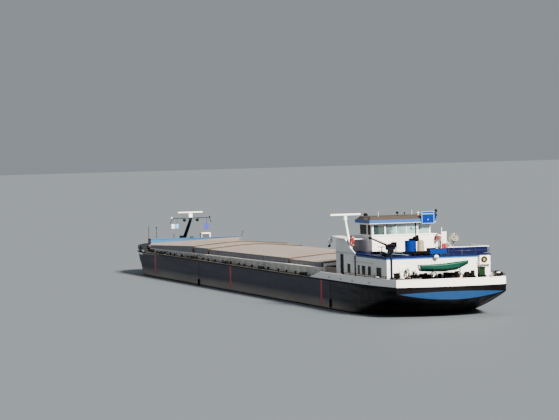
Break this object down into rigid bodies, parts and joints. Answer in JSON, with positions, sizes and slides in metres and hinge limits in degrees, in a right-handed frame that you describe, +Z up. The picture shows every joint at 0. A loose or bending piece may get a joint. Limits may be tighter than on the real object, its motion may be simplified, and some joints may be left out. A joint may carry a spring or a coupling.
{
  "type": "1:10 scale model of a river cargo barge",
  "caption": "Long dry-cargo river barge with sliding hatch covers over an open hold, aft deckhouse and wheelhouse, folding bow mast, boat crane, twin rudders and propeller.",
  "frame": {"origin": "on the centreline amidships, on the underside of the flat bottom", "axes": "+X forward to the bow, +Y to port, +Z up"},
  "size_m": [8.499, 0.9675, 0.841],
  "materials": {
    "hull_stern_block": "worn black hull paint with dust and scrapes",
    "hull_hold_block": "worn black hull paint with dust and scrapes",
    "hull_bow_block": "worn black hull paint with dust and scrapes",
    "stern_bulwark": "weathered white gloss paint",
    "bow_bulwark": "weathered white gloss paint",
    "wave_breaker": "light blue gloss paint",
    "hatch_coaming": "dusty grey-beige paint",
    "hatch_cover_fore": "dull pinkish-grey ribbed aluminium sheet",
    "hatch_cover_short": "dull pinkish-grey ribbed aluminium sheet",
    "hatch_cover_long": "dull pinkish-grey ribbed aluminium sheet",
    "hatch_cover_aft": "dull pinkish-grey ribbed aluminium sheet",
    "aft_trunk": "dull pinkish-grey ribbed aluminium sheet",
    "deckhouse_walls": "weathered white gloss paint",
    "deckhouse_roof": "dark navy gloss paint",
    "port_door": "dark navy gloss paint",
    "starboard_door": "dark navy gloss paint",
    "bridge_front_house": "weathered white gloss paint",
    "port_screen": "weathered white gloss paint",
    "starboard_screen": "weathered white gloss paint",
    "wing_canopy": "weathered white gloss paint",
    "companion_locker": "weathered white gloss paint",
    "wheelhouse_walls": "weathered white gloss paint",
    "wheelhouse_roof": "light blue gloss paint",
    "wheelhouse_door": "weathered white gloss paint",
    "helm_console": "dark navy gloss paint",
    "helm_chair": "black moulded plastic",
    "propeller": "dull cast bronze",
    "rudder_port": "dark navy gloss paint",
    "rudder_starboard": "dark navy gloss paint",
    "bow_mast": "dark navy gloss paint",
    "bow_scanner": "white radar plastic",
    "aft_radar_mast": "weathered white gloss paint",
    "aft_scanner": "white radar plastic",
    "crane_post": "dark navy gloss paint",
    "crane_boom": "dark navy gloss paint",
    "dinghy": "faded green glass-fibre",
    "dinghy_cradle": "weathered white gloss paint",
    "blue_board": "blue gloss paint",
    "roof_rail": "weathered white gloss paint",
    "aft_screen": "blue gloss paint",
    "air_conditioner": "weathered white gloss paint",
    "flagstaff": "weathered white gloss paint",
    "stern_flag": "red and white bunting",
    "flag_white": "white bunting",
    "flag_light_blue": "light blue bunting",
    "flag_violet": "faded violet-blue bunting",
    "store_drum": "blue moulded plastic",
    "store_cask": "beige moulded plastic",
    "deck_bin": "green moulded plastic",
    "stern_winch": "dark navy gloss paint",
    "anchor_windlass": "dark navy gloss paint",
    "foredeck_locker": "weathered white gloss paint",
    "satellite_dish": "weathered white gloss paint",
    "lamp_mast": "weathered white gloss paint",
    "anchor_port": "black-painted cast iron",
    "anchor_starboard": "black-painted cast iron",
    "engine": "green-grey engine paint"
  },
  "bodies": {
    "hull": {"hull_stern_block": "hull_stern_block", "hull_hold_block": "hull_hold_block", "hull_bow_block": "hull_bow_block", "stern_bulwark": "stern_bulwark", "bow_bulwark": "bow_bulwark", "wave_breaker": "wave_breaker", "hatch_coaming": "hatch_coaming", "hatch_cover_fore": "hatch_cover_fore", "aft_trunk": "aft_trunk", "deckhouse_walls": "deckhouse_walls", "deckhouse_roof": "deckhouse_roof", "bridge_front_house": "bridge_front_house", "port_screen": "port_screen", "starboard_screen": "starboard_screen", "wing_canopy": "wing_canopy", "companion_locker": "companion_locker", "wheelhouse_walls": "wheelhouse_walls", "wheelhouse_roof": "wheelhouse_roof", "helm_console": "helm_console", "helm_chair": "helm_chair", "aft_radar_mast": "aft_radar_mast", "dinghy": "dinghy", "dinghy_cradle": "dinghy_cradle", "roof_rail": "roof_rail", "aft_screen": "aft_screen", "air_conditioner": "air_conditioner", "flagstaff": "flagstaff", "stern_flag": "stern_flag", "store_drum": "store_drum", "store_cask": "store_cask", "deck_bin": "deck_bin", "stern_winch": "stern_winch", "anchor_windlass": "anchor_windlass", "foredeck_locker": "foredeck_locker", "satellite_dish": "satellite_dish", "lamp_mast": "lamp_mast", "anchor_port": "anchor_port", "anchor_starboard": "anchor_starboard", "engine": "engine"},
    "propeller": {"propeller": "propeller"},
    "port_rudder": {"rudder_port": "rudder_port"},
    "starboard_rudder": {"rudder_starboard": "rudder_starboard"},
    "port_entry_door": {"port_door": "port_door"},
    "starboard_entry_door": {"starboard_door": "starboard_door"},
    "bridge_door": {"wheelhouse_door": "wheelhouse_door"},
    "short_cover": {"hatch_cover_short": "hatch_cover_short"},
    "long_cover": {"hatch_cover_long": "hatch_cover_long"},
    "aft_cover": {"hatch_cover_aft": "hatch_cover_aft"},
    "folding_mast": {"bow_mast": "bow_mast", "flag_white": "flag_white", "flag_light_blue": "flag_light_blue", "flag_violet": "flag_violet"},
    "mast_scanner": {"bow_scanner": "bow_scanner"},
    "roof_scanner": {"aft_scanner": "aft_scanner"},
    "slewing_post": {"crane_post": "crane_post"},
    "luffing_boom": {"crane_boom": "crane_boom"},
    "signal_board": {"blue_board": "blue_board"}
  },
  "joints": [
    {"name": "propeller_spin", "type": "hinge", "parent": "hull", "child": "propeller", "pos_m": [-3.64, 0, 0.078], "axis": [1, 0, 0], "continuous": true},
    {"name": "port_rudder_turn", "type": "hinge", "parent": "hull", "child": "port_rudder", "pos_m": [-3.755, 0.042, 0.1], "axis": [0, 0, 1], "range_deg": [-35, 35]},
    {"name": "starboard_rudder_turn", "type": "hinge", "parent": "hull", "child": "starboard_rudder", "pos_m": [-3.755, -0.042, 0.1], "axis": [0, 0, 1], "range_deg": [-35, 35]},
    {"name": "port_door_swing", "type": "hinge", "parent": "hull", "child": "port_entry_door", "pos_m": [-2.8187, 0.39, 0.44], "axis": [0, 0, 1], "range_deg": [0, 55]},
    {"name": "starboard_door_swing", "type": "hinge", "parent": "hull", "child": "starboard_entry_door", "pos_m": [-2.8187, -0.39, 0.44], "axis": [0, 0, -1], "range_deg": [0, 55]},
    {"name": "bridge_door_swing", "type": "hinge", "parent": "hull", "child": "bridge_door", "pos_m": [-2.8897, -0.228, 0.65], "axis": [0, 0, -1], "range_deg": [0, 85]},
    {"name": "short_cover_slide", "type": "slide", "parent": "hull", "child": "short_cover", "axis": [1, 0, -0.0069], "range_m": [-3.4, 0]},
    {"name": "long_cover_slide", "type": "slide", "parent": "hull", "child": "long_cover", "axis": [1, 0, -0.0069], "range_m": [-0.9, 0.9]},
    {"name": "aft_cover_slide", "type": "slide", "parent": "hull", "child": "aft_cover", "axis": [1, 0, -0.0069], "range_m": [0, 3.9]},
    {"name": "mast_fold", "type": "hinge", "parent": "hull", "child": "folding_mast", "pos_m": [3.921, 0, 0.366], "axis": [0, 1, 0], "range_deg": [-10, 55]},
    {"name": "mast_scanner_turn", "type": "hinge", "parent": "folding_mast", "child": "mast_scanner", "pos_m": [3.527, 0.006, 0.688], "axis": [0, 0, 1], "continuous": true},
    {"name": "roof_scanner_turn", "type": "hinge", "parent": "hull", "child": "roof_scanner", "pos_m": [-2.822, 0.37, 0.822], "axis": [0, 0, 1], "continuous": true},
    {"name": "crane_slew", "type": "hinge", "parent": "hull", "child": "slewing_post", "pos_m": [-4.05, 0.4, 0.5], "axis": [0, 0, 1], "range_deg": [-55, 250]},
    {"name": "crane_luff", "type": "hinge", "parent": "slewing_post", "child": "luffing_boom", "pos_m": [-4.05, 0.4, 0.625], "axis": [0, 1, 0], "range_deg": [-60, 0]},
    {"name": "signal_board_turn", "type": "hinge", "parent": "hull", "child": "signal_board", "pos_m": [-3.086, -0.249, 0.81], "axis": [0, 0, 1], "range_deg": [0, 90]}
  ],
  "couplings": [
    {"joint": "starboard_rudder_turn", "follows": "port_rudder_turn", "ratio": 1}
  ]
}
